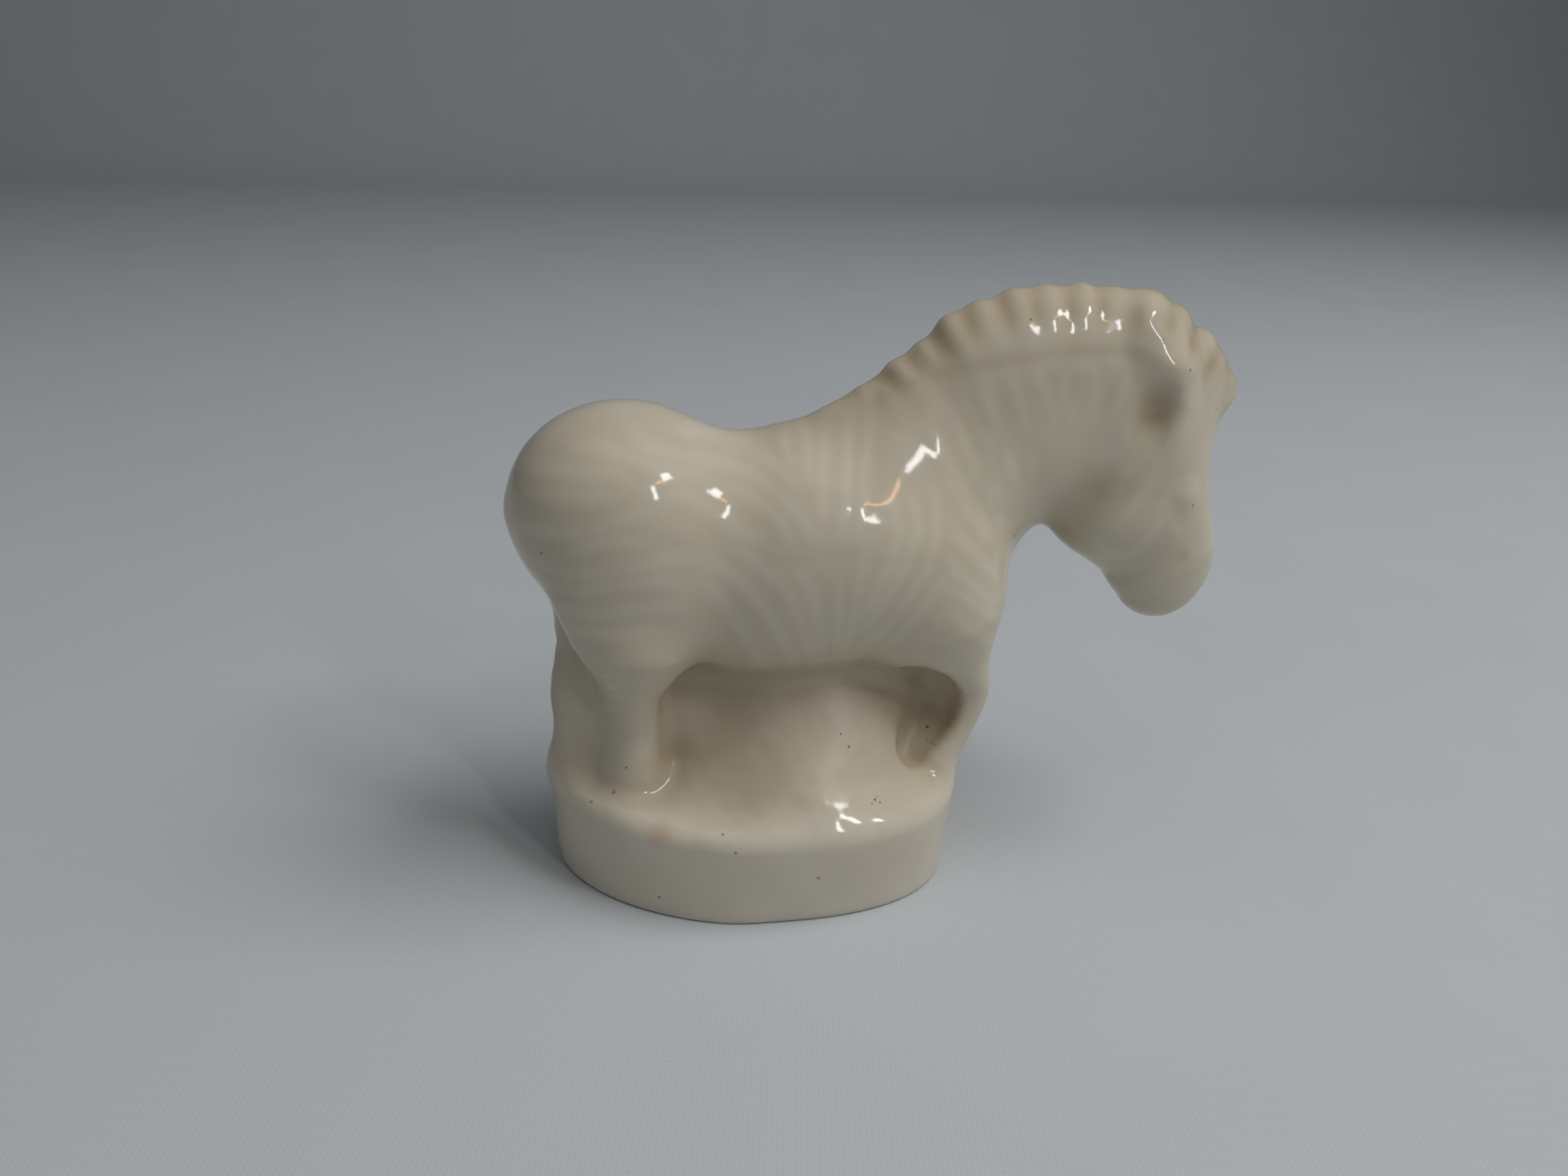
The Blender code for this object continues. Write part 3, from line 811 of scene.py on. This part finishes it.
def stage_floor():
    """A pale cloth that runs back and sweeps up behind."""
    bpy.ops.object.select_all(action="DESELECT")
    bpy.ops.mesh.primitive_plane_add(size=FLOOR_REACH, location=(0.0, -0.3, 0.0))
    floor = bpy.context.object
    floor.name = "floor"
    bpy.ops.object.mode_set(mode="EDIT")
    bpy.ops.mesh.select_all(action="DESELECT")
    bpy.ops.object.mode_set(mode="OBJECT")
    for edge in floor.data.edges:
        edge.select = all(floor.data.vertices[i].co.y > 0.1 for i in edge.vertices)
    bpy.ops.object.mode_set(mode="EDIT")
    bpy.ops.mesh.select_mode(type="EDGE")
    bpy.ops.mesh.extrude_region_move(TRANSFORM_OT_translate={"value": (0.0, 0.0, WALL_HEIGHT)})
    bpy.ops.object.mode_set(mode="OBJECT")
    bend = floor.modifiers.new("sweep", "BEVEL")
    bend.width = 0.12
    bend.segments = 10
    bend.limit_method = "ANGLE"
    apply_modifiers(floor)
    bpy.ops.object.transform_apply(location=True, rotation=True, scale=True)
    floor.data.materials.append(pale_cloth())
    for face in floor.data.polygons:
        face.use_smooth = True
    return floor


def lamp(name, azimuth, elevation, size, watts, colour=(1.0, 1.0, 1.0), distance=0.32,
         target=(0.003, 0.0, 0.02), in_glints=True):
    """A soft box. Azimuth is from the camera's side towards the head."""
    light = bpy.data.lights.new(name, "AREA")
    light.shape = "RECTANGLE"
    light.size, light.size_y = size
    light.energy = watts
    light.color = colour
    box = bpy.data.objects.new(name, light)
    bpy.context.scene.collection.objects.link(box)
    a, e = math.radians(azimuth), math.radians(elevation)
    way = Vector((math.sin(a) * math.cos(e), -math.cos(a) * math.cos(e), math.sin(e)))
    box.location = Vector(target) + way * distance
    box.rotation_euler = way.to_track_quat("Z", "Y").to_euler()
    box.visible_glossy = in_glints
    return box


def set_camera():
    """The photograph's view: from the animal's right side, a little behind and above."""
    yaw, rise, roll = math.radians(10.0), math.radians(23.0), 0.034
    distance = 0.078185
    target = Vector((0.00185, 0.0, 0.018676))
    back = Vector((-math.sin(yaw) * math.cos(rise), -math.cos(yaw) * math.cos(rise), math.sin(rise)))
    right = Vector((math.cos(yaw), -math.sin(yaw), 0.0))
    up = back.cross(right)
    camera = bpy.data.objects.new("camera", bpy.data.cameras.new("camera"))
    bpy.context.scene.collection.objects.link(camera)
    turned_right = math.cos(roll) * right + math.sin(roll) * up
    turned_up = -math.sin(roll) * right + math.cos(roll) * up
    place = Matrix((turned_right, turned_up, back)).transposed().to_4x4()
    place.translation = target + back * distance
    camera.matrix_world = place
    camera.data.sensor_width = 36.0
    camera.data.lens = 28.06
    camera.data.clip_start = 0.002
    camera.data.clip_end = 10.0
    bpy.context.scene.camera = camera


def set_light():
    """Three unseen soft boxes give the tone; the small bright ones give the glints."""
    bpy.context.scene.view_settings.view_transform = "Standard"
    world = bpy.data.worlds.new("soft room light")
    bpy.context.scene.world = world
    world.use_nodes = True
    nodes, links = world.node_tree.nodes, world.node_tree.links
    dim = nodes["Background"]
    dim.inputs["Color"].default_value = (0.90, 0.95, 1.0, 1.0)
    dim.inputs["Strength"].default_value = 0.04
    pale = nodes.new("ShaderNodeBackground")         # what is seen past the floor's edge
    pale.inputs["Color"].default_value = (0.94, 0.97, 1.0, 1.0)
    pale.inputs["Strength"].default_value = 0.26
    either = nodes.new("ShaderNodeMixShader")
    links.new(nodes.new("ShaderNodeLightPath").outputs["Is Camera Ray"], either.inputs["Fac"])
    links.new(dim.outputs["Background"], either.inputs[1])
    links.new(pale.outputs["Background"], either.inputs[2])
    links.new(either.outputs["Shader"], nodes["World Output"].inputs["Surface"])
    lamp("side roof", 72.0, 56.0, (0.32, 0.32), 1.24, distance=0.50, in_glints=False)
    lamp("tent roof", 20.0, 84.0, (0.42, 0.42), 0.43, distance=0.50, in_glints=False)
    lamp("front soft box", 26.0, 35.0, (0.018, 0.070), 0.066)
    lamp("right soft box", 46.0, 45.0, (0.045, 0.036), 0.078)
    lamp("left fill", -60.0, 25.0, (0.10, 0.10), 0.038, in_glints=False)
    lamp("warm lamp", 36.0, 43.0, (0.05, 0.006), 0.015, (1.0, 0.5, 0.2))


zebra = sculpt_zebra()
zebra.data.materials.clear()
zebra.data.materials.append(cream_glaze())
for face in zebra.data.polygons:
    face.use_smooth = True
    face.material_index = 0
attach(zebra, "root")
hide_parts("zebra_figurine")

floor = stage_floor()
set_light()
set_camera()
